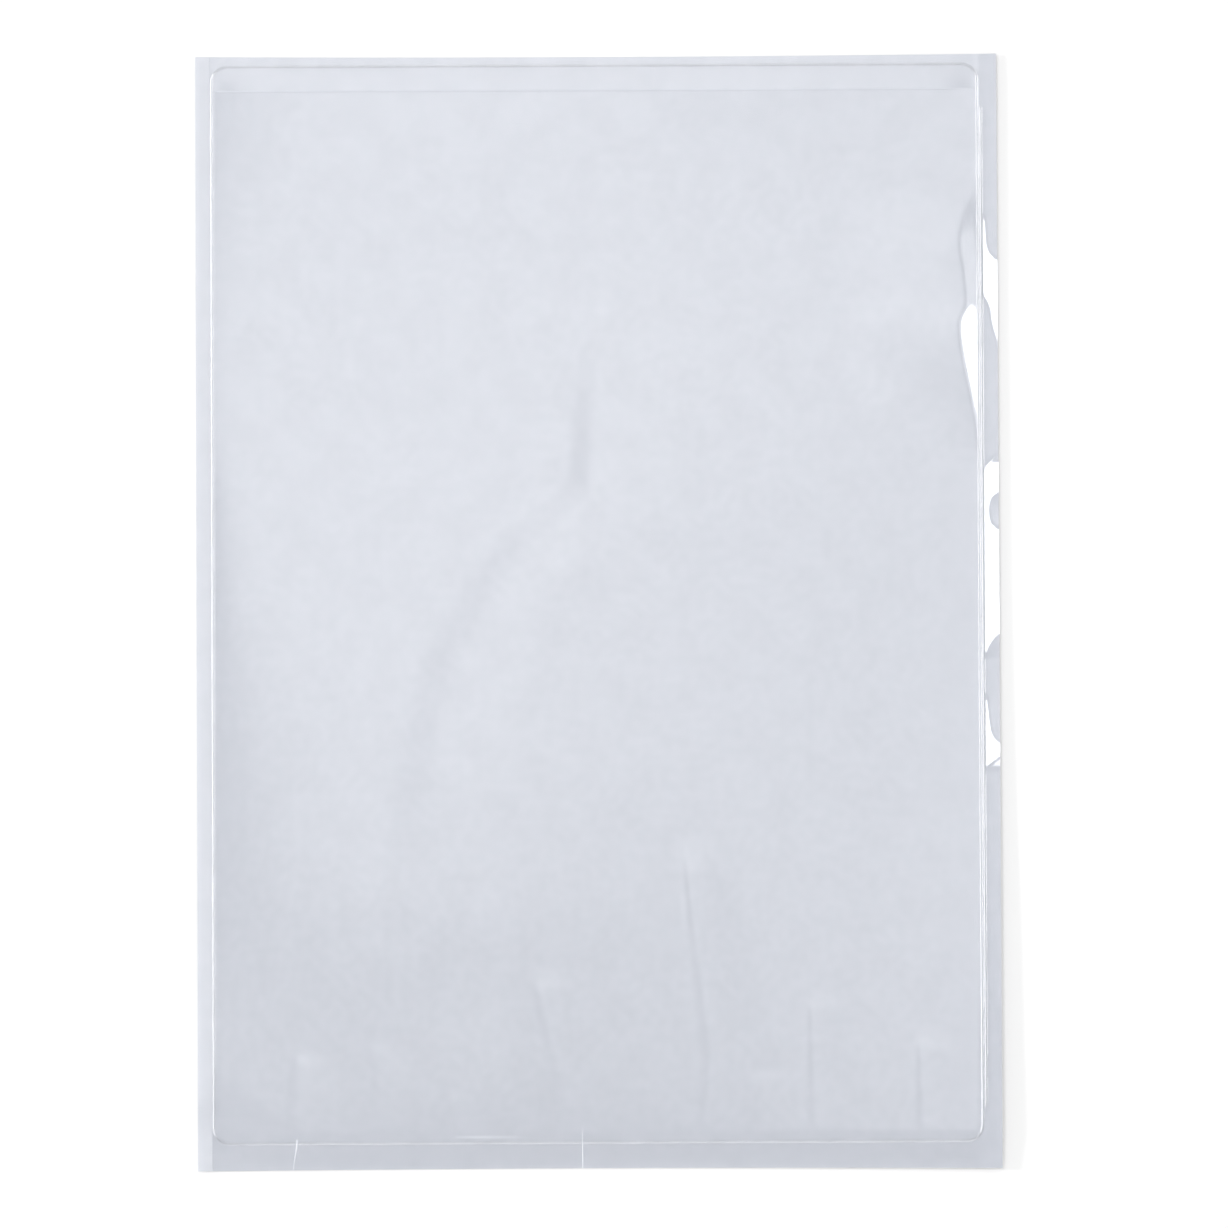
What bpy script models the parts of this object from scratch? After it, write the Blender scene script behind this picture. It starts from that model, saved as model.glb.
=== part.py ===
"""Self-adhesive document pocket for one A4 sheet, lying on its back with its mouth towards +Y.

A clear front film is welded to a clear back film in one closed loop. The front film is slit a little
below the top of that loop, and the slit is the mouth. The back film carries an adhesive layer, which a
paper liner in two halves covers until the pocket is stuck down.

Metres, +Z up. The origin is the middle of the outline, on the face that the pocket lies on.
"""

import math

import bpy

# The sheet that the pocket holds, and how loosely it lies inside the welded loop.
SHEET_WIDTH = 0.2100
SHEET_LENGTH = 0.2970
SIDE_PLAY = 0.0031
END_PLAY = 0.0026

# From the welded loop to the cut edge of the films.
LEFT_MARGIN = 0.0045
RIGHT_MARGIN = 0.0054
BOTTOM_MARGIN = 0.0076
TOP_MARGIN = 0.0028

# The loop's corners, and the bead that the weld squeezes up along its outer side.
WELD_RADIUS = 0.0045
BEAD_WIDTH = 0.0010
BEAD_HEIGHT = 0.00025

# The mouth: how far the slit lies below the top of the loop, and how wide it gapes.
MOUTH_DEPTH = 0.0067
MOUTH_GAP = 0.0003

# Thicknesses, from the face that the pocket lies on upwards.
LINER_THICKNESS = 0.00008
ADHESIVE_THICKNESS = 0.00003
BACK_FILM_THICKNESS = 0.00015
FRONT_FILM_THICKNESS = 0.00015

# Clearances: between layers that are stuck or fused together, inside the pocket, beside the free
# front panel, and between the two halves of the liner.
LAYER_GAP = 0.00002
POCKET_GAP = 0.0003
PANEL_CLEARANCE = 0.0003
LINER_SPLIT = 0.0003

# Points on each quarter of a round corner.
ARC_STEPS = 10

# Colour and roughness of each material.
FILM = ("clear_film", (0.80, 0.83, 0.90), 0.12)
ADHESIVE = ("clear_adhesive", (0.85, 0.86, 0.86), 0.35)
LINER = ("liner_paper", (0.83, 0.84, 0.87), 0.55)

# The outline, the welded loop inside it and the slit, as coordinates.
LEFT = -(SHEET_WIDTH + SIDE_PLAY + LEFT_MARGIN + RIGHT_MARGIN) / 2
RIGHT = -LEFT
BOTTOM = -(SHEET_LENGTH + END_PLAY + BOTTOM_MARGIN + TOP_MARGIN) / 2
TOP = -BOTTOM
WELD_LEFT = LEFT + LEFT_MARGIN
WELD_RIGHT = RIGHT - RIGHT_MARGIN
WELD_BOTTOM = BOTTOM + BOTTOM_MARGIN
WELD_TOP = TOP - TOP_MARGIN
CORNER_TOP = WELD_BOTTOM + WELD_RADIUS
SLIT = WELD_TOP - MOUTH_DEPTH

# The underside of each layer.
ADHESIVE_Z = LINER_THICKNESS + LAYER_GAP
BACK_FILM_Z = ADHESIVE_Z + ADHESIVE_THICKNESS + LAYER_GAP
POCKET_FLOOR_Z = BACK_FILM_Z + BACK_FILM_THICKNESS
SEAM_Z = POCKET_FLOOR_Z + LAYER_GAP
PANEL_Z = POCKET_FLOOR_Z + POCKET_GAP
BEAD_Z = SEAM_Z + FRONT_FILM_THICKNESS + LAYER_GAP

# The joints' axes: the liner folds back at the pocket's long edges, and the front panel lifts from
# the bottom weld.
PEEL_AXIS_Z = LINER_THICKNESS + LAYER_GAP / 2
MOUTH_AXIS_Z = PANEL_Z + FRONT_FILM_THICKNESS / 2


def clear_scene():
    for obj in list(bpy.data.objects):
        bpy.data.objects.remove(obj, do_unlink=True)


def make_collection(name):
    collection = bpy.data.collections.new(name)
    bpy.context.scene.collection.children.link(collection)
    return collection


def make_material(name, colour, roughness):
    material = bpy.data.materials.new(name)
    material.use_nodes = True
    shader = material.node_tree.nodes["Principled BSDF"]
    shader.inputs["Base Color"].default_value = (*colour, 1.0)
    shader.inputs["Roughness"].default_value = roughness
    shader.inputs["Metallic"].default_value = 0.0
    return material


def arc(centre, radius, start, end):
    """Points round a quarter of a circle, from one angle to another, in degrees."""
    points = []
    for step in range(ARC_STEPS + 1):
        angle = math.radians(start + (end - start) * step / ARC_STEPS)
        points.append((centre[0] + radius * math.cos(angle), centre[1] + radius * math.sin(angle)))
    return points


def rectangle(left, bottom, right, top):
    return [(left, bottom), (right, bottom), (right, top), (left, top)]


def rounded_rectangle(left, bottom, right, top, radius):
    return [
        *arc((right - radius, bottom + radius), radius, -90, 0),
        *arc((right - radius, top - radius), radius, 0, 90),
        *arc((left + radius, top - radius), radius, 90, 180),
        *arc((left + radius, bottom + radius), radius, 180, 270),
    ]


def add_empty(name, place, parent, collection):
    empty = bpy.data.objects.new(name, None)
    empty.empty_display_size = BOTTOM_MARGIN
    empty.location = place
    empty.parent = parent
    collection.objects.link(empty)
    return empty


def add_sheet(name, outlines, underside, thickness, material, axis, collection):
    """A flat sheet with these outlines, the later ones holes in the first, hung on an axis's empty."""
    origin = axis.matrix_world.translation
    curve = bpy.data.curves.new(name, "CURVE")
    curve.dimensions = "2D"
    curve.fill_mode = "BOTH"
    curve.extrude = thickness / 2
    for outline in outlines:
        spline = curve.splines.new("POLY")
        spline.points.add(len(outline) - 1)
        for point, (x, y) in zip(spline.points, outline):
            point.co = (x - origin.x, y - origin.y, 0.0, 1.0)
        spline.use_cyclic_u = True
    curve.materials.append(material)
    sheet = bpy.data.objects.new(name, curve)
    sheet.location = (0.0, 0.0, underside + thickness / 2 - origin.z)
    sheet.parent = axis
    collection.objects.link(sheet)
    return sheet


def front_panel_outline():
    """The free part of the front film, inside the weld and below the slit."""
    radius = WELD_RADIUS - PANEL_CLEARANCE
    left = WELD_LEFT + PANEL_CLEARANCE
    right = WELD_RIGHT - PANEL_CLEARANCE
    bottom = WELD_BOTTOM + PANEL_CLEARANCE
    top = SLIT - MOUTH_GAP
    return [
        *arc((left + radius, bottom + radius), radius, 180, 270),
        *arc((right - radius, bottom + radius), radius, 270, 360),
        (right, top),
        (left, top),
    ]


def bottom_seam_outline():
    """The welded border below the pocket, up to where the loop's lower corners end."""
    left_centre = (WELD_LEFT + WELD_RADIUS, CORNER_TOP)
    right_centre = (WELD_RIGHT - WELD_RADIUS, CORNER_TOP)
    return [
        (LEFT, BOTTOM),
        (RIGHT, BOTTOM),
        (RIGHT, CORNER_TOP),
        *arc(right_centre, WELD_RADIUS, 360, 270),
        *arc(left_centre, WELD_RADIUS, 270, 180),
        (LEFT, CORNER_TOP),
    ]


def add_backing(film, adhesive, axis, collection):
    """The back film and the adhesive that it carries."""
    outline = rectangle(LEFT, BOTTOM, RIGHT, TOP)
    add_sheet("adhesive_layer", [outline], ADHESIVE_Z, ADHESIVE_THICKNESS, adhesive, axis, collection)
    add_sheet("back_film", [outline], BACK_FILM_Z, BACK_FILM_THICKNESS, film, axis, collection)


def add_border(film, axis, collection):
    """The border of the front film, which the weld holds down, and the bead along the loop."""
    seams = {
        "left_seam": rectangle(LEFT, CORNER_TOP + LAYER_GAP, WELD_LEFT, SLIT - LAYER_GAP),
        "right_seam": rectangle(WELD_RIGHT, CORNER_TOP + LAYER_GAP, RIGHT, SLIT - LAYER_GAP),
        "bottom_seam": bottom_seam_outline(),
        "top_band": rectangle(LEFT, SLIT, RIGHT, TOP),
    }
    for name, outline in seams.items():
        add_sheet(name, [outline], SEAM_Z, FRONT_FILM_THICKNESS, film, axis, collection)
    loop = (WELD_LEFT, WELD_BOTTOM, WELD_RIGHT, WELD_TOP)
    inner = rounded_rectangle(*loop, WELD_RADIUS)
    outer = rounded_rectangle(
        WELD_LEFT - BEAD_WIDTH,
        WELD_BOTTOM - BEAD_WIDTH,
        WELD_RIGHT + BEAD_WIDTH,
        WELD_TOP + BEAD_WIDTH,
        WELD_RADIUS + BEAD_WIDTH,
    )
    add_sheet("weld_bead", [outer, inner], BEAD_Z, BEAD_HEIGHT, film, axis, collection)


def add_liner(paper, left_axis, right_axis, collection):
    """The two halves of the liner, each hung on the long edge that it peels back to."""
    halves = {
        "liner_left": (left_axis, rectangle(LEFT, BOTTOM, -LINER_SPLIT / 2, TOP)),
        "liner_right": (right_axis, rectangle(LINER_SPLIT / 2, BOTTOM, RIGHT, TOP)),
    }
    for name, (axis, outline) in halves.items():
        add_sheet(name, [outline], 0.0, LINER_THICKNESS, paper, axis, collection)


def main():
    clear_scene()
    parts = make_collection("document_pocket")
    film, adhesive, paper = (make_material(*values) for values in (FILM, ADHESIVE, LINER))

    backing = add_empty("backing_frame", (0.0, 0.0, 0.0), None, parts)
    mouth_axis = add_empty("mouth_axis", (0.0, WELD_BOTTOM, MOUTH_AXIS_Z), backing, parts)
    left_axis = add_empty("left_peel_axis", (LEFT, 0.0, PEEL_AXIS_Z), backing, parts)
    right_axis = add_empty("right_peel_axis", (RIGHT, 0.0, PEEL_AXIS_Z), backing, parts)
    bpy.context.view_layer.update()

    add_backing(film, adhesive, backing, parts)
    add_border(film, backing, parts)
    add_liner(paper, left_axis, right_axis, parts)
    add_sheet(
        "front_panel", [front_panel_outline()], PANEL_Z, FRONT_FILM_THICKNESS, film, mouth_axis, parts
    )


main()
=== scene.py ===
"""Looks of the self-adhesive document pocket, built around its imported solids.

Every film and both halves of the liner are thin closed sheets. They follow one gently curled surface, and
the free front film stands off it in soft swells and creases. Lengths are in metres, in the solids' frame:
+X to the right, +Y towards the mouth and +Z out of the front.
"""

import math

import bpy
import numpy as np
from mathutils import Euler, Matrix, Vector


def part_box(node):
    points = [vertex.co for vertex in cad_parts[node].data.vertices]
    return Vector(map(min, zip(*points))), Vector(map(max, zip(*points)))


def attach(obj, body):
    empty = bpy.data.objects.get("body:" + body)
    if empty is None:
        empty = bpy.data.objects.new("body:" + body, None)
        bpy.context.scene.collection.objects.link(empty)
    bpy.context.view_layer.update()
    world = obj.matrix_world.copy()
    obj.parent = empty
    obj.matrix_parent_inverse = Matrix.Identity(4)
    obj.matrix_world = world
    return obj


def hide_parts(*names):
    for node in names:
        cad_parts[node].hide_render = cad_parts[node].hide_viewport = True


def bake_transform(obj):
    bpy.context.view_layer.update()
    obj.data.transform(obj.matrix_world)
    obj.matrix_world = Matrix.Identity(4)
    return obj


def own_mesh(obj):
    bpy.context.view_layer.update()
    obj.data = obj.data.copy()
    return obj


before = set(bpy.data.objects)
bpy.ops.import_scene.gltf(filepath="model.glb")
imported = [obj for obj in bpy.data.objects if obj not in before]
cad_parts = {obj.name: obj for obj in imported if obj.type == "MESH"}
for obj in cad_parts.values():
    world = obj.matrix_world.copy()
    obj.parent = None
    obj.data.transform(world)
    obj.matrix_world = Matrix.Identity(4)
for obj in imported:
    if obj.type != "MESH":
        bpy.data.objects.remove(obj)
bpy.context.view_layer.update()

MM = 0.001

# The outline, the welded loop and the slit, read from the solids.
BACK_LOW, BACK_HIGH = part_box("back_film")
PANEL_LOW, PANEL_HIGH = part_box("front_panel")
BEAD_LOW, BEAD_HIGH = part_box("weld_bead")
LEFT, BOTTOM = BACK_LOW.x, BACK_LOW.y
RIGHT, TOP = BACK_HIGH.x, BACK_HIGH.y
WELD_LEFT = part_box("left_seam")[1].x
WELD_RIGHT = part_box("right_seam")[0].x
PANEL_CLEARANCE = PANEL_LOW.x - WELD_LEFT
WELD_BOTTOM = PANEL_LOW.y - PANEL_CLEARANCE
WELD_TOP = BEAD_HIGH.y - (WELD_LEFT - BEAD_LOW.x)
CORNER_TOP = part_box("bottom_seam")[1].y
WELD_RADIUS = CORNER_TOP - WELD_BOTTOM
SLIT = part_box("top_band")[0].y
LIP = PANEL_HIGH.y

# The underside and thickness of each layer where the laminate lies flat.
LINER_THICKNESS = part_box("liner_left")[1].z
ADHESIVE_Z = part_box("adhesive_layer")[0].z
ADHESIVE_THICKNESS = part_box("adhesive_layer")[1].z - ADHESIVE_Z
BACK_Z = BACK_LOW.z
BACK_THICKNESS = BACK_HIGH.z - BACK_LOW.z
POCKET_FLOOR_Z = BACK_HIGH.z
FRONT_THICKNESS = PANEL_HIGH.z - PANEL_LOW.z
FILM_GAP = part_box("left_seam")[0].z - POCKET_FLOOR_Z
BORDER_TOP_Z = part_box("left_seam")[1].z

# The knife cut that parts the two halves of the liner.
LINER_CUT = 0.016 * MM

# Both short edges are cut with a slight hollow, deepest in the middle.
EDGE_HOLLOW = 0.45 * MM

# The right edge curls up a little: where the curl starts and how steep it gets, down the sheet (y in mm).
CURL_START_MM = [(-155, 104), (-60, 106), (155, 106)]
CURL_SLOPE = [(-155, 0.06), (-90, 0.045), (-40, 0.04), (155, 0.045)]
CURL_SOFTNESS = 0.4 * MM

# The whole right side bends up a little, more towards the bottom: how steep, down the sheet (y in mm).
SIDE_SLOPE = [(-155, 0.012), (-100, 0.010), (-50, 0.007), (0, 0.005), (155, 0.0045)]
SIDE_START = 30 * MM
SIDE_SOFTNESS = 14 * MM

# Beyond a line just outside the left weld, the left border tips up.
LEFT_TIP = 0.12
LEFT_TIP_SOFTNESS = 0.04 * MM
TIP_LINE_OFFSET = 0.45 * MM
TIP_LINE = WELD_LEFT - TIP_LINE_OFFSET

# The sheet rises a little from both short edges over a run, and settles again over a long fade. At the
# bottom the run is longer near the left edge (x in mm).
BOTTOM_RISE = 0.5 * MM
BOTTOM_RISE_RUN_MM = [(-111.5, 30), (-106, 28), (-80, 11), (111.5, 11)]
BOTTOM_RISE_FADE = 260 * MM
TOP_RISE = 0.1 * MM
TOP_RISE_RUN = 9 * MM
TOP_RISE_FADE = 260 * MM

# Ripples in the right border of the front film, where it rises outwards with an extra slope: between which
# lines it rises, down the sheet (y in mm), from 0 at the weld to 1 at the edge.
RIPPLE_SLOPE = 0.14
RIPPLES = [
    {
        "inner": [(74.5, 0.95), (79.5, 0.7), (84.5, 0.55), (86.2, 0.4), (87.5, 0.24), (112, 0.22)],
        "outer": [(71.5, 0.5), (74.5, 1.3), (95.8, 1.3), (98.6, 0.75), (100.9, 0.5), (108.6, 0.38),
                  (111, 0.1)],
    },
    {
        "inner": [(-14, 0.22), (38.5, 0.22), (39.8, 0.3), (41.5, 0.55), (43.1, 0.9), (44.5, 1.5)],
        "outer": [(-14, 0.1), (-12.4, 0.3), (-10.2, 0.5), (-7.9, 0.8), (-5.7, 1.3), (20.9, 1.3),
                  (22.6, 0.95), (24.8, 0.58), (27.6, 0.52), (30.4, 0.6), (32.3, 0.95), (33.7, 1.3)],
    },
    {
        "inner": [(-50, 0.22), (-20, 0.22)],
        "outer": [(-45.5, 0.1), (-44.0, 0.3), (-42.6, 0.6), (-41.2, 0.95), (-39.8, 1.2), (-37.1, 1.0),
                  (-34.9, 0.65), (-31.5, 0.5), (-25, 0.36), (-22.5, 0.1)],
    },
]
RIPPLE_EDGE = 0.14
RIPPLE_STEPS = 16

# How far the free front film stands off the back film, down the sheet (y in mm). On the left it climbs from
# the weld over a run. Then it steps up along a slanting line, and past a crest it slopes down to the right
# weld. Beside the step lies a low swell, FOLD_OVER. The film lies flat next to the welds.
LEFT_HEIGHT_MM = [(-147, 0.25), (-125, 0.55), (-100, 0.90), (-80, 0.85), (-52, 0.68), (-24, 0.48),
                  (3, 0.28), (31, 0.14), (59, 0.05), (87, 0.08), (115, 0.24), (137, 0.42), (146, 0.48)]
LEFT_RUN_MM = [(-147, 40), (-110, 38), (-94, 26), (-80, 18), (-52, 14), (-24, 10), (3, 6), (31, 4), (59, 4),
               (87, 6), (115, 12), (146, 18)]
CREST_HEIGHT_MM = [(-147, 0.30), (-125, 0.55), (-100, 0.80), (-80, 0.90), (-52, 0.86), (-24, 0.70),
                   (3, 0.55), (31, 0.38), (59, 0.22), (87, 0.14), (115, 0.24), (146, 0.48)]
STEP_MM = [(-110, -54), (-74, -53.7), (-43, -51), (-30, -48.5), (-16.6, -45), (-3.3, -38.5), (10, -30.5),
           (20, -23), (28.7, -12), (37, -5), (55, -4), (80, -1.5)]
STEP_HALF_MM = [(-110, 8), (0, 7.5), (25, 6), (50, 5), (80, 5)]
CREST_MM = [(-147, -25), (-100, -22), (-74, -18), (-46, -15), (-17, -14), (3, -10), (14, -4), (33, 14),
            (55, 18), (146, 20)]
CREST_SOFTNESS = 5 * MM
CREST_END = 86 * MM
FOLD_OVER_MM = [(-147, -33), (-113, -33), (-88, -33), (-68, -31), (-43, -27), (-23, -23.5), (-10, -21),
                (3.3, -16), (15, -8), (30, 0)]
FOLD_OVER_HEIGHT_MM = [(-147, 0.32), (-136, 0.28), (-125, 0.20), (-105, 0.11), (-85, 0.07), (-60, 0.06),
                       (-17, 0.06), (5, 0.05), (25, 0.0)]
FOLD_OVER_HALF_MM = [(-147, 15), (-110, 13), (-60, 9), (30, 8)]
WELD_FLAT = 0.9 * MM
BOTTOM_RUN = 6 * MM

# Near the top of the right weld the film drops to it from a low ridge: how far the ridge lies from the weld
# and how steep the drop is, down the sheet (y in mm). To the left the ridge dies away over a run.
DROP_REACH_MM = [(45, 0.15), (53, 1.1), (79.5, 5.3), (85.6, 3.4), (94.7, 4.2), (102.5, 5.3), (108, 4.5),
                 (120, 0.0)]
DROP_SLOPE = [(40, 0.0), (46, 0.105), (82, 0.105), (87, 0.075), (103, 0.06), (120, 0.0)]
DROP_SOFTNESS = 0.3 * MM
DROP_RUN = 34 * MM

# Both lips of the slit turn up a little, right at the cut, and the band above it stands off the back film.
# Both forms die away towards the slit's ends.
LIP_CURL = 0.02 * MM
LIP_CURL_RUN = 0.4 * MM
SLIT_FADE = 8 * MM
BAND_RISE = 0.12 * MM

# Creases of the front film that run down to the bottom weld, steep on their left and easy on their right.
# The half width in mm is the left one, and the skew is how many times wider the right one is. A crease fades
# in over the first share of its route, and grows along it from a share of its size.
CREASES = [
    {"route": [(-18.2, -99), (-6.5, -146)], "width": 3.0, "height": 0.20},
    {"route": [(24.0, -62), (26.5, -84.5), (31.5, -123.7), (29.5, -146)], "width": 3.0, "height": 0.20},
    {"route": [(59.0, -106), (60.6, -146)], "width": 2.6, "height": 0.16},
    {"route": [(89, -118), (90.5, -146)], "width": 2.6, "height": 0.15},
    {"route": [(-63, -119), (-59, -146)], "width": 2.2, "height": 0.11},
    {"route": [(-83.6, -122), (-84.0, -146)], "width": 2.6, "height": 0.15},
    {"route": [(-41, -134), (-40.9, -147)], "width": 2.0, "height": 0.09},
    {"route": [(43, -128), (46, -146)], "width": 2.2, "height": 0.10},
]
CREASE_SKEW = 5.0
CREASE_FIRST = 0.45
CREASE_START = 0.16

# Sharp folds that cross the bottom weld and the bottom border, of the same form as the creases.
FOLDS = [
    {"route": [(-84.0, -145.5), (-84.0, -148.2), (-85.2, -156)], "width": 0.18, "height": 0.027},
    {"route": [(-40.9, -145.5), (-40.9, -156)], "width": 0.30, "height": 0.02},
    {"route": [(-4.7, -142), (-4.7, -156)], "width": 0.22, "height": 0.037},
]
FOLD_SKEW = 2.5

# The weld line's section, a low ridge: distance from its middle and height over the film, in mm. Along
# the right side a second ridge runs outside the first.
WELD_RIDGE_MM = [(-0.41, -0.05), (-0.40, 0.0), (-0.05, 0.06), (0.05, 0.06), (0.40, 0.0), (0.41, -0.05)]
WELD_DEPTH = 0.11 * MM
SECOND_RIDGE = 1.05 * MM
SECOND_RIDGE_ENDS_MM = (-138, 140)

# Spacing of the sheets' points, the least one as a share of the finest, and what counts as one point.
COARSE_STEP = 2.0 * MM
PANEL_STEP = COARSE_STEP * 0.75
FINE_STEP = 0.6 * MM
BAND_STEP = FINE_STEP * 0.7
RIGHT_BORDER_STEP = FINE_STEP * 0.6
FOLD_STEP = 0.08 * MM
LEAST_STEP = 0.45
SAME_POINT = 0.001 * MM
ARC_STEPS = 14
WELD_STEP = 1.2 * MM
BORDER_ROWS = 15
SHARP_ANGLE = math.radians(50)

# Where points lie closer: how far to each side of a line, and their spacing there.
CURL_SPOT = (32 * MM, FINE_STEP)
LEFT_SPOT = (9 * MM, FINE_STEP)
TIP_SPOT = (0.5 * MM, FOLD_STEP)
BORDER_TIP_SPOT = (0.4 * MM, FOLD_STEP)
BOTTOM_SPOT = (14 * MM, FINE_STEP)
TOP_SPOT = (12 * MM, FINE_STEP)
SLIT_SPOT = (1.5 * MM, FOLD_STEP)
FOLD_SPOT = (1.6 * MM, FOLD_STEP)
CREASE_SPOT = (6 * MM, FINE_STEP)
CREASE_PLACES_MM = (-12, 28, 44.5, 60, 88, -60, -84)
LEFT_CORNER_SPOT = (8 * MM, FINE_STEP)
RIGHT_CORNER_SPOT = (14 * MM, FINE_STEP / 2)

# Rows of the free front film, as shares of its length: their spacing, and the middle, reach and spacing of
# closer ones at the lip, at the weld and where the film drops to the right weld.
PANEL_ROW_STEP = 1 / 190
PANEL_ROW_SPOTS = [(1.0, 0.005, 0.0004), (0.0, 0.03, 0.002), (0.76, 0.14, 0.0024)]

# The photograph's frame: its side and the pocket's middle in pixels, and the size of a pixel.
FRAME_PIXELS = 1228
MIDDLE_PIXEL = (600.8, 611.4)
PIXEL = 0.2775 * MM
SENSOR = 36.0
CAMERA_HEIGHT = 3.6
CAMERA_TILT = math.radians(2.9)
CAMERA_ROLL = math.radians(-0.25)

# Light: a softbox on the left that the right border mirrors, a smaller one on the right that the film beside
# the right weld mirrors, and a low lamp on the left that gives the shadow on the right.
KEY_PLACE = (-0.76, 0.12, 2.17)
KEY_SIZE = (1.3, 0.50)
KEY_WATTS = 13.0
SIDE_PLACE = (0.64, 0.25, 2.20)
SIDE_SIZE = (0.7, 0.20)
SIDE_WATTS = 2.6
LOW_LAMP_WAY = (-0.945, 0.12, 0.30)
LOW_LAMP_STRENGTH = 1.5
LOW_LAMP_ANGLE = math.radians(3.0)

# The room. Overhead is a bright strip: RIM says how far from its middle line, across x, it fades out, and
# SPAN where it fades in along y. Round it the room is dim, and paler at the walls: the bands are heights
# between which the walls fade in over the dark ground, and out again towards the strip. Patches of light
# stand in it: a way to each, the cosines between which it fades in, and its level. So do windows, low down
# and evenly all round, the first one a share of a step away from +X.
STRIP_MIDDLE = -0.012
STRIP_RIM = (0.0, 0.10)
STRIP_SPAN = (-0.04, 0.095)
STRIP_LEVELS = (0.02, 1.25)
WALL_LEVEL = 0.435
GROUND_BAND = (-0.1, 0.0)
WALL_BAND = (0.80, 0.95)
ROOM_PATCHES = [
    {"way": (-0.33, 0.05, 0.943), "cosines": (0.975, 0.995), "level": 0.4},
    {"way": (0.10, 0.745, 0.66), "cosines": (0.94, 0.975), "level": 0.8},
    {"way": (0.0, 0.62, 0.785), "cosines": (0.985, 0.995), "level": 2.2},
    {"way": (0.0, -0.34, 0.94), "cosines": (0.985, 0.995), "level": 1.0},
    {"way": (0.0, -0.389, 0.921), "cosines": (0.985, 0.993), "level": 3.0},
    {"way": (0.25, 0.07, 0.966), "cosines": (0.988, 0.9945), "level": 1.4},
]
WINDOWS = 6
FIRST_WINDOW = 0.25
WINDOW_HEIGHT = 0.45
WINDOW = {"cosines": (0.962, 0.974), "level": 0.5}

# The floor, a little below the liner.
FLOOR_Z = -0.2 * MM
FLOOR_SIDE = 12.0
FLOOR_COLOUR = (0.80, 0.80, 0.80)
FLOOR_GLOW = 0.235

# Looks of the films: their tint, the shade of their milkiness, how much they mirror head on, how milky and
# how rough they are, and how that changes over them.
FILM_TINT = (0.994, 0.995, 0.997)
FILM_MILK = (0.90, 0.92, 0.95)
EDGE_POWER = 5.0
MOTTLE_SCALE = 90.0
NOISE_SPAN = (0.3, 0.7)
FREE_FILM = {"mirror": 0.058, "haze": (0.012, 0.018), "roughness": (0.035, 0.06)}
BONDED_FILM = {"mirror": 0.02, "haze": (0.0, 0.004), "roughness": (0.05, 0.08)}
WELDED_FILM = {"mirror": 0.08, "haze": (0.02, 0.05), "roughness": (0.06, 0.10)}

# Looks of the adhesive and the paper: shades, and the scale, detail and roughness of their noise.
ADHESIVE_THICK = (0.980, 0.984, 0.984)
ADHESIVE_THIN = (0.990, 0.992, 0.992)
COAT_SCALE = 400.0
LINER_DARK = (0.853, 0.866, 0.930)
LINER_LIGHT = (0.857, 0.870, 0.934)
LINER_ROUGHNESS = (0.42, 0.58)
CLOUD = (220.0, 2.0, 0.6)
FIBRE = (2600.0, 1.0, 0.65)
FIBRE_BUMP = 0.12
FIBRE_DEPTH = 0.02 * MM


# Curves and distances

def smooth(t):
    t = np.clip(t, 0.0, 1.0)
    return t * t * (3 - 2 * t)


def through(place, knots):
    """A smooth curve through knots, each a place and its value, which never overshoots them."""
    places, values = np.array(knots, float).T
    steps = np.diff(places)
    rates = np.diff(values) / steps
    same_way = rates[:-1] * rates[1:] > 0
    total = np.where(same_way, rates[:-1] + rates[1:], 1.0)
    inner = np.where(same_way, 2 * rates[:-1] * rates[1:] / total, 0.0)
    tangents = np.concatenate([rates[:1], inner, rates[-1:]])
    place = np.clip(place, places[0], places[-1])
    after = np.clip(np.searchsorted(places, place, side="right"), 1, len(places) - 1)
    before = after - 1
    step = steps[before]
    t = (place - places[before]) / step
    start = values[before] * (1 + 2 * t) * (1 - t) ** 2 + step * tangents[before] * t * (1 - t) ** 2
    end = values[after] * t ** 2 * (3 - 2 * t) + step * tangents[after] * t ** 2 * (t - 1)
    return start + end


def soft_ramp(distance, softness):
    """Zero before 0 and the distance after it, with a rounded start."""
    return softness * np.logaddexp(0.0, distance / softness)


def route_distance(x, y, route):
    """Distance from points to a route, and how far along it each one lies, from 0 to 1.

    The distance is negative to the right of the way that the route runs.
    """
    points = np.array(route, float) * MM
    lengths = np.hypot(*np.diff(points, axis=0).T)
    before = np.concatenate([[0.0], np.cumsum(lengths)])
    nearest = np.full(np.shape(x), np.inf)
    share = np.zeros(np.shape(x))
    for start, end, length, run in zip(points[:-1], points[1:], lengths, before):
        step = (end - start) / length
        t = np.clip((x - start[0]) * step[0] + (y - start[1]) * step[1], 0.0, length)
        gap = np.hypot(x - start[0] - step[0] * t, y - start[1] - step[1] * t)
        side = np.sign(step[0] * (y - start[1]) - step[1] * (x - start[0]))
        closer = gap < np.abs(nearest)
        nearest = np.where(closer, gap * side, nearest)
        share = np.where(closer, (run + t) / before[-1], share)
    return nearest, share


def crease(x, y, form, skew=1.0, first=1.0):
    """A narrow ridge that starts from nothing at the top of its route.

    A skew eases its right side, and first is its size near the top as a share of its size at the end.
    """
    gap, share = route_distance(x, y, form["route"])
    size = first + (1 - first) * share
    width = form["width"] * MM * size * np.where(gap > 0, skew, 1.0)
    return form["height"] * MM * size * np.exp(-((gap / width) ** 2)) * smooth(share / CREASE_START)


# The forms of the laminate and of the front film

def curl_run(x, y):
    """How far a point lies beyond the start of the right edge's curl."""
    return soft_ramp(x - through(y / MM, CURL_START_MM) * MM, CURL_SOFTNESS)


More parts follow.
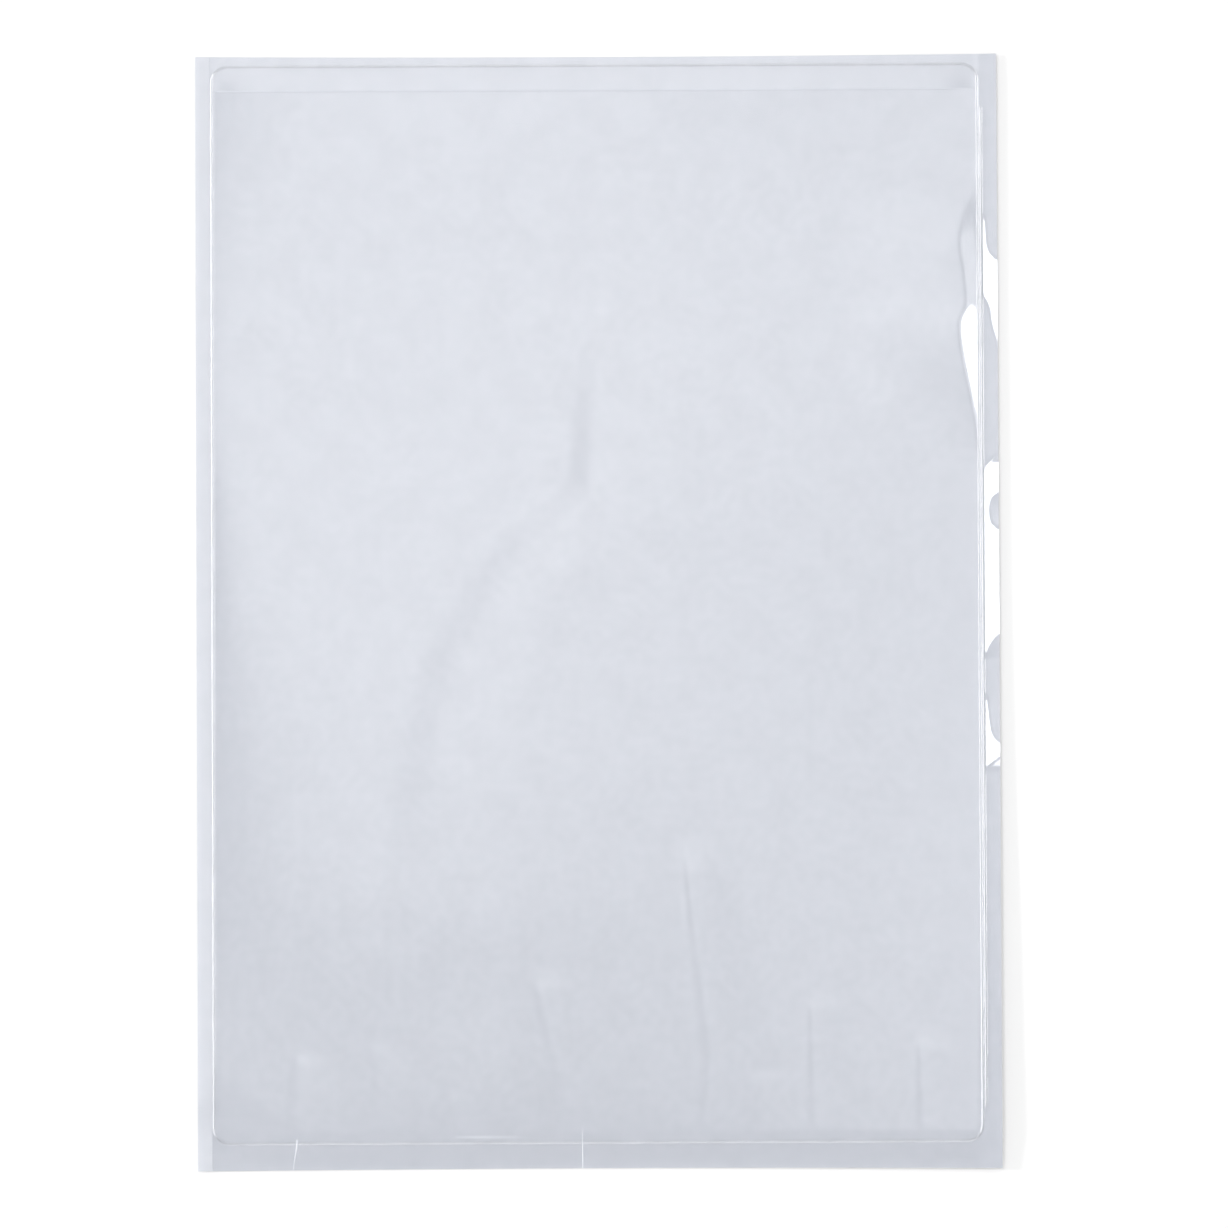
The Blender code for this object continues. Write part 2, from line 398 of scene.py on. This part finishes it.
def lift(x, y):
    """How far the laminate's underside stands off the surface that it lies on."""
    curl = through(y / MM, CURL_SLOPE) * curl_run(x, y)
    side = through(y / MM, SIDE_SLOPE) * soft_ramp(x - SIDE_START, SIDE_SOFTNESS)
    tip = LEFT_TIP * soft_ramp(TIP_LINE - x, LEFT_TIP_SOFTNESS)
    from_bottom, from_top = y - BOTTOM, TOP - y
    run = through(x / MM, BOTTOM_RISE_RUN_MM) * MM
    low = smooth(from_bottom / run) * (1 - smooth((from_bottom - run) / BOTTOM_RISE_FADE))
    high = smooth(from_top / TOP_RISE_RUN) * (1 - smooth((from_top - TOP_RISE_RUN) / TOP_RISE_FADE))
    return curl + side + tip + BOTTOM_RISE * low + TOP_RISE * high


def drawn_in(x, y):
    """How far the curl at the right edge draws a point in, since the sheet keeps its length."""
    return 0.5 * through(y / MM, CURL_SLOPE) ** 2 * curl_run(x, y)


def folds(x, y):
    return sum(crease(x, y, form, FOLD_SKEW) for form in FOLDS)


def ripple_slope(across, y):
    """Extra outward slope of the front film's right border."""
    total = np.zeros(np.shape(y))
    for form in RIPPLES:
        past = (across - through(y / MM, form["inner"])) / RIPPLE_EDGE
        short = (through(y / MM, form["outer"]) - across) / RIPPLE_EDGE
        total = total + smooth(past + 0.5) * smooth(short + 0.5)
    return RIPPLE_SLOPE * total


def ripple(x, y):
    """Height of the ripples in the right border, which start from nothing at the weld."""
    width = RIGHT - WELD_RIGHT
    across = np.clip((x - WELD_RIGHT) / width, 0.0, 1.0)
    steps = (np.arange(RIPPLE_STEPS) + 0.5) / RIPPLE_STEPS
    slopes = sum(ripple_slope(across * step, y) for step in steps) / RIPPLE_STEPS
    return slopes * across * width


def slit_ends(x):
    """One along the slit, and nothing at the side welds where it ends."""
    from_left, from_right = x - WELD_LEFT - WELD_FLAT, WELD_RIGHT - WELD_FLAT - x
    return smooth(from_left / SLIT_FADE) * smooth(from_right / SLIT_FADE)


def closing(distance, run):
    """Nothing at a weld and on the flat beside it, then a quick climb to one over a run."""
    return 1 - np.exp(-np.maximum(distance - WELD_FLAT, 0.0) / run)


def drop(x, y):
    """Height of the ridge near the right weld, from which the front film drops to the weld."""
    reach = through(y / MM, DROP_REACH_MM) * MM
    inwards = np.maximum(WELD_RIGHT - x, 0.0)
    climb = inwards - soft_ramp(inwards - reach, DROP_SOFTNESS) + soft_ramp(-reach, DROP_SOFTNESS)
    return through(y / MM, DROP_SLOPE) * climb * (1 - smooth((inwards - reach) / DROP_RUN))


def puff(x, y):
    """How far the free front film stands off the back film."""
    left = through(y / MM, LEFT_HEIGHT_MM) * MM
    crest = through(y / MM, CREST_HEIGHT_MM) * MM
    slant = through(y / MM + 0.5, STEP_MM) - through(y / MM - 0.5, STEP_MM)
    half = through(y / MM, STEP_HALF_MM) * MM * np.hypot(1.0, slant)
    past_step = smooth((x - through(y / MM, STEP_MM) * MM) / (2 * half) + 0.5)
    depth = left * closing(x - WELD_LEFT, through(y / MM, LEFT_RUN_MM) * MM) + (crest - left) * past_step
    beside = (x / MM - through(y / MM, FOLD_OVER_MM)) / through(y / MM, FOLD_OVER_HALF_MM)
    depth = depth + through(y / MM, FOLD_OVER_HEIGHT_MM) * MM * np.exp(-(beside ** 2))
    crest_x = through(y / MM, CREST_MM) * MM
    run = soft_ramp(x - crest_x, CREST_SOFTNESS) - soft_ramp(x - CREST_END, CREST_SOFTNESS)
    depth = depth * (1 - run / (CREST_END - crest_x))
    depth = depth * closing(y - WELD_BOTTOM, BOTTOM_RUN) + drop(x, y)
    for form in CREASES:
        depth = depth + crease(x, y, form, CREASE_SKEW, CREASE_FIRST)
    lip = LIP_CURL * np.exp((y - LIP) / LIP_CURL_RUN) * slit_ends(x)
    return depth + folds(x, y) + lip + FILM_GAP


def band_gap(x, y):
    """How far the band above the mouth stands off the back film."""
    free = smooth((WELD_TOP - y) / (WELD_TOP - SLIT))
    lip = LIP_CURL * np.exp(np.minimum(SLIT - y, 0.0) / LIP_CURL_RUN) * (y >= SLIT)
    return (BAND_RISE * free + lip) * slit_ends(x)


def border_gap(x, y):
    """How far the welded border of the front film stands off the back film."""
    return FILM_GAP + ripple(x, y) + folds(x, y) + band_gap(x, y)


def edge_hollow(x, y):
    """Shift along y that hollows the two short cut edges, and fades out at the weld."""
    middle = 1 - (x / RIGHT) ** 2
    top = smooth((y - WELD_TOP) / (TOP - WELD_TOP))
    bottom = smooth((WELD_BOTTOM - y) / (WELD_BOTTOM - BOTTOM))
    return EDGE_HOLLOW * middle * (bottom - top)


# Meshes

def spread(low, high, step, spots=()):
    """Places from low to high, a step apart, with extra ones near spots: (middle, reach, step)."""
    places = [np.linspace(low, high, max(2, math.ceil((high - low) / step) + 1))]
    for middle, reach, fine in spots:
        first, last = max(low, middle - reach), min(high, middle + reach)
        if last > first:
            places.append(np.linspace(first, last, max(2, math.ceil((last - first) / fine) + 1)))
    merged = np.unique(np.concatenate(places))
    least = min([step] + [spot[2] for spot in spots]) * LEAST_STEP
    kept = [merged[0]]
    for place in merged[1:-1]:
        if place - kept[-1] > least and merged[-1] - place > least:
            kept.append(place)
    return np.array(kept + [merged[-1]])


def grid_faces(rows, columns, first=0):
    """Quads of a grid of points, counter-clockwise seen from +Z, where rows run along +Y."""
    index = first + np.arange(rows * columns).reshape(rows, columns)
    corners = (index[:-1, :-1], index[:-1, 1:], index[1:, 1:], index[1:, :-1])
    return np.stack([corner.ravel() for corner in corners], axis=1)


def joined(grids):
    """Points and quads of several grids of (x, y), with the points that they share merged."""
    points, faces, first = [], [], 0
    for x, y in grids:
        faces.append(grid_faces(*x.shape, first))
        points.append(np.stack([x.ravel(), y.ravel()], axis=1))
        first += x.size
    points = np.concatenate(points)
    faces = np.concatenate(faces)
    keys = np.round(points / SAME_POINT)
    _, kept, merged = np.unique(keys, axis=0, return_index=True, return_inverse=True)
    return points[kept], merged.ravel()[faces]


def new_piece(name, points, faces, material):
    mesh = bpy.data.meshes.new(name)
    mesh.from_pydata(points.tolist(), [], faces)
    mesh.materials.append(material)
    mesh.shade_smooth()
    mesh.set_sharp_from_angle(angle=SHARP_ANGLE)
    mesh.validate()
    piece = bpy.data.objects.new(name, mesh)
    bpy.context.scene.collection.objects.link(piece)
    return piece


def closed_sheet(name, flat, faces, underside, thickness, material):
    """A closed sheet over flat points: underside(x, y) is its lower face's height."""
    x, y = flat[:, 0], flat[:, 1]
    low = underside(x, y)
    shown_x = x - drawn_in(x, y)
    shown_y = y + edge_hollow(x, y)
    bottom = np.stack([shown_x, shown_y, low], axis=1)
    top = np.stack([shown_x, shown_y, low + thickness], axis=1)
    count = len(flat)
    edges = np.concatenate([faces[:, [i, (i + 1) % 4]] for i in range(4)])
    keys = np.sort(edges, axis=1)
    _, where, seen = np.unique(keys, axis=0, return_index=True, return_counts=True)
    rim = edges[where[seen == 1]]
    sides = np.stack([rim[:, 0], rim[:, 1], rim[:, 1] + count, rim[:, 0] + count], axis=1)
    quads = np.concatenate([faces + count, faces[:, ::-1], sides])
    return new_piece(name, np.concatenate([bottom, top]), quads.tolist(), material)


def sheet_columns(low, high):
    """Columns of the full-size layers, closer where the sheet curls or tips up."""
    spots = [(RIGHT, *CURL_SPOT), (LEFT, *LEFT_SPOT), (TIP_LINE, *TIP_SPOT)]
    return spread(low, high, COARSE_STEP, spots)


def sheet_rows():
    """Rows of the full-size layers, closer at the short edges."""
    return spread(BOTTOM, TOP, COARSE_STEP, [(BOTTOM, *BOTTOM_SPOT), (TOP, *TOP_SPOT)])


def full_layer(name, low, high, underside, thickness, material):
    """One layer of the laminate, from low to high across."""
    flat, faces = joined([np.meshgrid(sheet_columns(low, high), sheet_rows())])
    return closed_sheet(name, flat, faces, lambda x, y: underside + lift(x, y), thickness, material)


def fold_spots():
    """Where columns lie closer for the folds, each round the start of its last stretch."""
    return [(form["route"][-2][0] * MM, *FOLD_SPOT) for form in FOLDS]


def loop_bottom(x, inset):
    """The lower side of the welded loop over x, with its round corners, moved inwards by inset."""
    radius = WELD_RADIUS - inset
    left, right = WELD_LEFT + WELD_RADIUS, WELD_RIGHT - WELD_RADIUS
    off = np.maximum(np.maximum(left - x, x - right), 0.0)
    return CORNER_TOP - np.sqrt(np.maximum(radius ** 2 - off ** 2, 0.0))


def arc_places(inset):
    """Places across a round corner, from the loop's side inwards, even round the arc."""
    angles = np.linspace(0.0, math.pi / 2, ARC_STEPS + 1)
    return WELD_RADIUS - (WELD_RADIUS - inset) * np.cos(angles)


def panel_grid():
    """Points of the free front film, whose lower corners are round."""
    inner_left, inner_right = WELD_LEFT + WELD_RADIUS, WELD_RIGHT - WELD_RADIUS
    spots = [(inner_left, *LEFT_CORNER_SPOT), (inner_right, *RIGHT_CORNER_SPOT), *fold_spots()]
    spots += [(x * MM, *CREASE_SPOT) for x in CREASE_PLACES_MM]
    middle = spread(inner_left, inner_right, PANEL_STEP, spots)
    corner = arc_places(PANEL_CLEARANCE)
    columns = np.concatenate([WELD_LEFT + corner[:-1], middle, WELD_RIGHT - corner[-2::-1]])
    rows = spread(0.0, 1.0, PANEL_ROW_STEP, PANEL_ROW_SPOTS)
    x = np.tile(columns, (len(rows), 1))
    low = loop_bottom(columns, PANEL_CLEARANCE)
    y = low[None, :] + (LIP - low)[None, :] * rows[:, None]
    return x, y


def border_grids():
    """Points of the front film's border and of the band above the mouth, as one ring."""
    corner = arc_places(0.0)
    left = spread(LEFT, WELD_LEFT, FINE_STEP, [(TIP_LINE, *BORDER_TIP_SPOT)])
    right = spread(WELD_RIGHT, RIGHT, RIGHT_BORDER_STEP)
    inner = spread(WELD_LEFT + WELD_RADIUS, WELD_RIGHT - WELD_RADIUS, COARSE_STEP, fold_spots())
    middle = np.concatenate([WELD_LEFT + corner[1:-1], inner, WELD_RIGHT - corner[-2:0:-1]])
    columns = np.concatenate([left, middle, right])
    sides = spread(CORNER_TOP, SLIT, FINE_STEP)
    low_rows = np.linspace(0.0, 1.0, BORDER_ROWS)
    top_rows = spread(SLIT, TOP, BAND_STEP, [(SLIT, *SLIT_SPOT)])
    outside = (columns < WELD_LEFT) | (columns > WELD_RIGHT)
    high = np.where(outside, CORNER_TOP, loop_bottom(columns, 0.0))
    low_y = BOTTOM + (high - BOTTOM)[None, :] * low_rows[:, None]
    return [
        np.meshgrid(left, sides),
        np.meshgrid(right, sides),
        (np.tile(columns, (len(low_rows), 1)), low_y),
        np.meshgrid(columns, top_rows),
    ]


def loop_path():
    """Points and outward normals all round the welded loop."""
    centres = [
        (WELD_RIGHT - WELD_RADIUS, CORNER_TOP, -90),
        (WELD_RIGHT - WELD_RADIUS, WELD_TOP - WELD_RADIUS, 0),
        (WELD_LEFT + WELD_RADIUS, WELD_TOP - WELD_RADIUS, 90),
        (WELD_LEFT + WELD_RADIUS, CORNER_TOP, 180),
    ]
    corners = []
    for x, y, start in centres:
        for angle in np.radians(np.linspace(start, start + 90, ARC_STEPS + 1)):
            normal = np.array([math.cos(angle), math.sin(angle)])
            corners.append((np.array([x, y]) + WELD_RADIUS * normal, normal))
    points, normals = [], []
    for (point, normal), (after, _) in zip(corners, corners[1:] + corners[:1]):
        count = math.ceil(np.linalg.norm(after - point) / WELD_STEP)
        for share in np.arange(count) / count:
            points.append(point + (after - point) * share)
            normals.append(normal)
    return np.array(points), np.array(normals)


def ridge(path, normals, closed):
    """Points and quads of a low ridge swept along a path; an open one is capped at both ends."""
    profile = np.array(WELD_RIDGE_MM) * MM
    under = np.array([(profile[-1, 0], -WELD_DEPTH), (profile[0, 0], -WELD_DEPTH)])
    section = np.concatenate([profile, under])[::-1]
    count, sides = len(path), len(section)
    flat = path[:, None, :] + normals[:, None, :] * section[None, :, :1]
    x, y = flat[..., 0], flat[..., 1]
    z = BORDER_TOP_Z + lift(x, y) + folds(x, y) + ripple(x, y) + section[None, :, 1]
    points = np.stack([x - drawn_in(x, y), y, z], axis=-1).reshape(-1, 3)
    rings = np.arange(count if closed else count - 1)[:, None] * sides
    after_rings = (rings + sides) % (count * sides)
    step = np.arange(sides)[None, :]
    after_step = (step + 1) % sides
    corners = (rings + step, after_rings + step, after_rings + after_step, rings + after_step)
    faces = np.stack(corners, axis=-1).reshape(-1, 4).tolist()
    if not closed:
        last = (count - 1) * sides
        faces += [list(range(sides))[::-1], list(range(last, last + sides))]
    return points, faces


def weld_line(material):
    """The pressed weld: a fine ridge all round the loop, and a second one along its right side."""
    points, faces = ridge(*loop_path(), closed=True)
    rows = spread(SECOND_RIDGE_ENDS_MM[0] * MM, SECOND_RIDGE_ENDS_MM[1] * MM, WELD_STEP)
    path = np.stack([np.full(len(rows), WELD_RIGHT + SECOND_RIDGE), rows], axis=1)
    more_points, more_faces = ridge(path, np.tile((1.0, 0.0), (len(rows), 1)), closed=False)
    faces += [[i + len(points) for i in face] for face in more_faces]
    return new_piece("weld_line", np.concatenate([points, more_points]), faces, material)


# Materials

def new_material(name):
    material = bpy.data.materials.new(name)
    material.use_nodes = True
    nodes = material.node_tree.nodes
    nodes.clear()
    return material, nodes, material.node_tree.links


def math_node(nodes, links, operation, *values):
    """The result of a math node. Its values are numbers or other nodes' outputs."""
    node = nodes.new("ShaderNodeMath")
    node.operation = operation
    for socket, value in zip(node.inputs, values):
        if isinstance(value, float):
            socket.default_value = value
        else:
            links.new(value, socket)
    return node.outputs["Value"]


def remap(nodes, links, value, span, levels, kind="LINEAR"):
    """A value carried over from a span to a pair of levels, and held at them outside the span."""
    node = nodes.new("ShaderNodeMapRange")
    node.interpolation_type = kind
    node.inputs["From Min"].default_value, node.inputs["From Max"].default_value = span
    node.inputs["To Min"].default_value, node.inputs["To Max"].default_value = levels
    links.new(value, node.inputs["Value"])
    return node.outputs["Result"]


def mix_colours(nodes, links, share, first, second):
    node = nodes.new("ShaderNodeMix")
    node.data_type = "RGBA"
    node.inputs["A"].default_value = (*first, 1.0)
    node.inputs["B"].default_value = (*second, 1.0)
    links.new(share, node.inputs["Factor"])
    return node.outputs["Result"]


def mix_shaders(nodes, links, share, first, second):
    node = nodes.new("ShaderNodeMixShader")
    for socket, value in zip(node.inputs, (share, first, second)):
        links.new(value, socket)
    return node.outputs["Shader"]


def noise(nodes, links, scale, detail=0.0, roughness=0.5):
    """Soft noise over a flat sheet."""
    place = nodes.new("ShaderNodeTexCoord")
    texture = nodes.new("ShaderNodeTexNoise")
    texture.noise_dimensions = "2D"
    texture.inputs["Scale"].default_value = scale
    texture.inputs["Detail"].default_value = detail
    texture.inputs["Roughness"].default_value = roughness
    links.new(place.outputs["Object"], texture.inputs["Vector"])
    return texture.outputs["Fac"]


def clear_film(name, mirror, haze, roughness):
    """Clear glossy film: it lets light straight through, mirrors a little, and is very slightly milky."""
    material, nodes, links = new_material(name)
    clear = nodes.new("ShaderNodeBsdfTransparent")
    clear.inputs["Color"].default_value = (*FILM_TINT, 1.0)
    milk = nodes.new("ShaderNodeBsdfDiffuse")
    milk.inputs["Color"].default_value = (*FILM_MILK, 1.0)
    gloss = nodes.new("ShaderNodeBsdfGlossy")
    gloss.inputs["Color"].default_value = (1.0, 1.0, 1.0, 1.0)
    mottle = noise(nodes, links, MOTTLE_SCALE)
    links.new(remap(nodes, links, mottle, NOISE_SPAN, roughness), gloss.inputs["Roughness"])
    milkiness = remap(nodes, links, mottle, NOISE_SPAN, haze)
    body = mix_shaders(nodes, links, milkiness, clear.outputs["BSDF"], milk.outputs["BSDF"])
    facing = nodes.new("ShaderNodeLayerWeight")
    facing.inputs["Blend"].default_value = 0.5
    edge = math_node(nodes, links, "POWER", facing.outputs["Facing"], EDGE_POWER)
    share = math_node(nodes, links, "MULTIPLY_ADD", edge, 1.0 - mirror, mirror)
    surface = mix_shaders(nodes, links, share, body, gloss.outputs["BSDF"])
    output = nodes.new("ShaderNodeOutputMaterial")
    links.new(surface, output.inputs["Surface"])
    return material


def clear_adhesive():
    """A clear coat between film and paper: it mirrors nothing, and is not quite even."""
    material, nodes, links = new_material("clear_adhesive")
    clear = nodes.new("ShaderNodeBsdfTransparent")
    coat = remap(nodes, links, noise(nodes, links, COAT_SCALE), NOISE_SPAN, (0.0, 1.0))
    links.new(mix_colours(nodes, links, coat, ADHESIVE_THICK, ADHESIVE_THIN), clear.inputs["Color"])
    output = nodes.new("ShaderNodeOutputMaterial")
    links.new(clear.outputs["BSDF"], output.inputs["Surface"])
    return material


def liner_paper():
    """Calendered paper with a silicone finish: pale, faintly blue, with fine fibre."""
    material, nodes, links = new_material("liner_paper")
    paper = nodes.new("ShaderNodeBsdfPrincipled")
    cloud = remap(nodes, links, noise(nodes, links, *CLOUD), NOISE_SPAN, (0.0, 1.0))
    links.new(mix_colours(nodes, links, cloud, LINER_DARK, LINER_LIGHT), paper.inputs["Base Color"])
    fibre = noise(nodes, links, *FIBRE)
    links.new(remap(nodes, links, fibre, NOISE_SPAN, LINER_ROUGHNESS), paper.inputs["Roughness"])
    bump = nodes.new("ShaderNodeBump")
    bump.inputs["Strength"].default_value = FIBRE_BUMP
    bump.inputs["Distance"].default_value = FIBRE_DEPTH
    links.new(fibre, bump.inputs["Height"])
    links.new(bump.outputs["Normal"], paper.inputs["Normal"])
    output = nodes.new("ShaderNodeOutputMaterial")
    links.new(paper.outputs["BSDF"], output.inputs["Surface"])
    return material


def white_floor():
    """A white floor that keeps the pocket's shadow and shows white to the camera and in reflections."""
    material, nodes, links = new_material("white_floor")
    base = nodes.new("ShaderNodeBsdfDiffuse")
    base.inputs["Color"].default_value = (*FLOOR_COLOUR, 1.0)
    dark = nodes.new("ShaderNodeEmission")
    dark.inputs["Strength"].default_value = 0.0
    glow = nodes.new("ShaderNodeEmission")
    glow.inputs["Strength"].default_value = FLOOR_GLOW
    path = nodes.new("ShaderNodeLightPath")
    seen = math_node(nodes, links, "MAXIMUM", path.outputs["Is Camera Ray"], path.outputs["Is Glossy Ray"])
    shown = math_node(nodes, links, "MAXIMUM", seen, path.outputs["Is Transmission Ray"])
    choice = mix_shaders(nodes, links, shown, dark.outputs["Emission"], glow.outputs["Emission"])
    total = nodes.new("ShaderNodeAddShader")
    links.new(base.outputs["BSDF"], total.inputs[0])
    links.new(choice, total.inputs[1])
    output = nodes.new("ShaderNodeOutputMaterial")
    links.new(total.outputs["Shader"], output.inputs["Surface"])
    return material


# Stage

def add_floor():
    half = FLOOR_SIDE / 2
    corners = [(x, y, FLOOR_Z) for x, y in ((-half, -half), (half, -half), (half, half), (-half, half))]
    mesh = bpy.data.meshes.new("floor")
    mesh.from_pydata(corners, [], [(0, 1, 2, 3)])
    mesh.materials.append(white_floor())
    floor = bpy.data.objects.new("floor", mesh)
    bpy.context.scene.collection.objects.link(floor)


def add_softbox(name, place, size, watts):
    """A rectangular light beside the pocket, long side along y, that faces the pocket's middle line."""
    data = bpy.data.lights.new(name, "AREA")
    data.shape = "RECTANGLE"
    data.size, data.size_y = size
    data.energy = watts
    lamp = bpy.data.objects.new(name, data)
    lamp.visible_camera = False
    lamp.location = place
    lamp.rotation_euler = Vector((-place[0], 0.0, -place[2])).to_track_quat("-Z", "Y").to_euler()
    bpy.context.scene.collection.objects.link(lamp)


def add_low_lamp():
    """A small lamp far off on the left, low enough to throw the lifted right edge's shadow."""
    data = bpy.data.lights.new("low_lamp", "SUN")
    data.energy = LOW_LAMP_STRENGTH
    data.angle = LOW_LAMP_ANGLE
    lamp = bpy.data.objects.new("low_lamp", data)
    lamp.rotation_euler = Vector(LOW_LAMP_WAY).to_track_quat("Z", "Y").to_euler()
    bpy.context.scene.collection.objects.link(lamp)


def window_patches():
    """Patches for the windows, low down and evenly all round."""
    reach = math.sqrt(1 - WINDOW_HEIGHT ** 2)
    turns = [2 * math.pi * (i + FIRST_WINDOW) / WINDOWS for i in range(WINDOWS)]
    ways = [(reach * math.cos(turn), reach * math.sin(turn), WINDOW_HEIGHT) for turn in turns]
    return [{"way": way, **WINDOW} for way in ways]


def room_light(nodes, links):
    """How bright the room is: a strip overhead, dim round it, paler walls, and patches and windows."""
    way = nodes.new("ShaderNodeTexCoord").outputs["Generated"]
    axes = nodes.new("ShaderNodeSeparateXYZ")
    links.new(way, axes.inputs["Vector"])
    x, y, z = axes.outputs
    off = math_node(nodes, links, "ABSOLUTE", math_node(nodes, links, "SUBTRACT", x, STRIP_MIDDLE))
    across = remap(nodes, links, off, STRIP_RIM, (1.0, 0.0), "SMOOTHSTEP")
    along = remap(nodes, links, y, STRIP_SPAN, (0.0, 1.0), "SMOOTHSTEP")
    share = math_node(nodes, links, "MULTIPLY", across, along)
    height = nodes.new("ShaderNodeMix")
    links.new(remap(nodes, links, z, WALL_BAND, (0.0, 1.0), "SMOOTHSTEP"), height.inputs["Factor"])
    links.new(remap(nodes, links, z, GROUND_BAND, (0.0, WALL_LEVEL), "SMOOTHSTEP"), height.inputs["A"])
    links.new(remap(nodes, links, share, (0.0, 1.0), STRIP_LEVELS), height.inputs["B"])
    light = height.outputs["Result"]
    for form in ROOM_PATCHES + window_patches():
        beside = nodes.new("ShaderNodeVectorMath")
        beside.operation = "DOT_PRODUCT"
        beside.inputs[1].default_value = Vector(form["way"]).normalized()
        links.new(way, beside.inputs[0])
        levels = (0.0, form["level"])
        patch = remap(nodes, links, beside.outputs["Value"], form["cosines"], levels, "SMOOTHSTEP")
        light = math_node(nodes, links, "ADD", light, patch)
    return light


def add_room():
    """The room's soft light, which the camera itself sees as plain white."""
    world = bpy.data.worlds.new("room")
    world.use_nodes = True
    nodes, links = world.node_tree.nodes, world.node_tree.links
    nodes.clear()
    soft = nodes.new("ShaderNodeBackground")
    soft.inputs["Color"].default_value = (1.0, 1.0, 1.0, 1.0)
    links.new(room_light(nodes, links), soft.inputs["Strength"])
    white = nodes.new("ShaderNodeBackground")
    white.inputs["Color"].default_value = (1.0, 1.0, 1.0, 1.0)
    seen = nodes.new("ShaderNodeLightPath").outputs["Is Camera Ray"]
    choice = mix_shaders(nodes, links, seen, soft.outputs["Background"], white.outputs["Background"])
    output = nodes.new("ShaderNodeOutputWorld")
    links.new(choice, output.inputs["Surface"])
    bpy.context.scene.world = world


def add_camera():
    """Straight down on the pocket, framed as the photograph is."""
    half_frame = FRAME_PIXELS / 2
    aim_x = (half_frame - MIDDLE_PIXEL[0]) * PIXEL
    aim_y = (MIDDLE_PIXEL[1] - half_frame) * PIXEL
    data = bpy.data.cameras.new("camera")
    data.sensor_width = SENSOR
    data.lens = SENSOR * CAMERA_HEIGHT / (FRAME_PIXELS * PIXEL)
    camera = bpy.data.objects.new("camera", data)
    camera.location = (aim_x, aim_y - CAMERA_HEIGHT * math.tan(CAMERA_TILT), CAMERA_HEIGHT)
    camera.rotation_euler = Euler((CAMERA_TILT, 0.0, CAMERA_ROLL), "XYZ")
    bpy.context.scene.collection.objects.link(camera)
    bpy.context.scene.camera = camera


# Pieces

def add_liner(paper):
    """Two halves of paper, parted by a knife cut, each hung on the body of its half."""
    cut = LINER_CUT / 2
    halves = {"left": (LEFT, -cut), "right": (cut, RIGHT)}
    for side, (low, high) in halves.items():
        half = full_layer(f"liner_half_{side}", low, high, 0.0, LINER_THICKNESS, paper)
        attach(half, f"liner_{side}")
        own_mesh(half)
        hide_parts(f"liner_{side}")


def add_backing(film, adhesive):
    """The adhesive coat, and the back film that carries it."""
    coat = full_layer("adhesive_coat", LEFT, RIGHT, ADHESIVE_Z, ADHESIVE_THICKNESS, adhesive)
    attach(coat, "backing")
    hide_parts("adhesive_layer")
    back = full_layer("back_sheet", LEFT, RIGHT, BACK_Z, BACK_THICKNESS, film)
    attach(back, "backing")
    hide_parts("back_film")


def add_border(film, welded):
    """The front film's border with the band above the mouth, and the weld line on it."""
    flat, faces = joined(border_grids())
    border = closed_sheet(
        "front_border", flat, faces,
        lambda x, y: POCKET_FLOOR_Z + lift(x, y) + border_gap(x, y), FRONT_THICKNESS, film,
    )
    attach(border, "backing")
    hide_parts("left_seam", "right_seam", "bottom_seam", "top_band")
    weld = weld_line(welded)
    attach(weld, "backing")
    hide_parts("weld_bead")
    return [border, weld]


def add_front_sheet(film):
    """The free front film inside the welded loop, which stands off the back film in soft swells and creases.
    """
    flat, faces = joined([panel_grid()])
    sheet = closed_sheet(
        "front_sheet", flat, faces,
        lambda x, y: POCKET_FLOOR_Z + lift(x, y) + puff(x, y), FRONT_THICKNESS, film,
    )
    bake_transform(sheet)
    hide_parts("front_panel")


bpy.context.scene.view_settings.view_transform = "Standard"
bpy.context.scene.cycles.max_bounces = 6
bpy.context.scene.cycles.diffuse_bounces = 2
bpy.context.scene.cycles.glossy_bounces = 3
bpy.context.scene.cycles.transparent_max_bounces = 24
bpy.context.scene.cycles.use_light_tree = False

free_film = clear_film("free_film", **FREE_FILM)
add_liner(liner_paper())
add_backing(clear_film("bonded_film", **BONDED_FILM), clear_adhesive())
border_pieces = add_border(free_film, clear_film("welded_film", **WELDED_FILM))
add_front_sheet(free_film)

add_floor()
add_softbox("key_softbox", KEY_PLACE, KEY_SIZE, KEY_WATTS)
add_softbox("side_softbox", SIDE_PLACE, SIDE_SIZE, SIDE_WATTS)
add_low_lamp()
add_room()
add_camera()
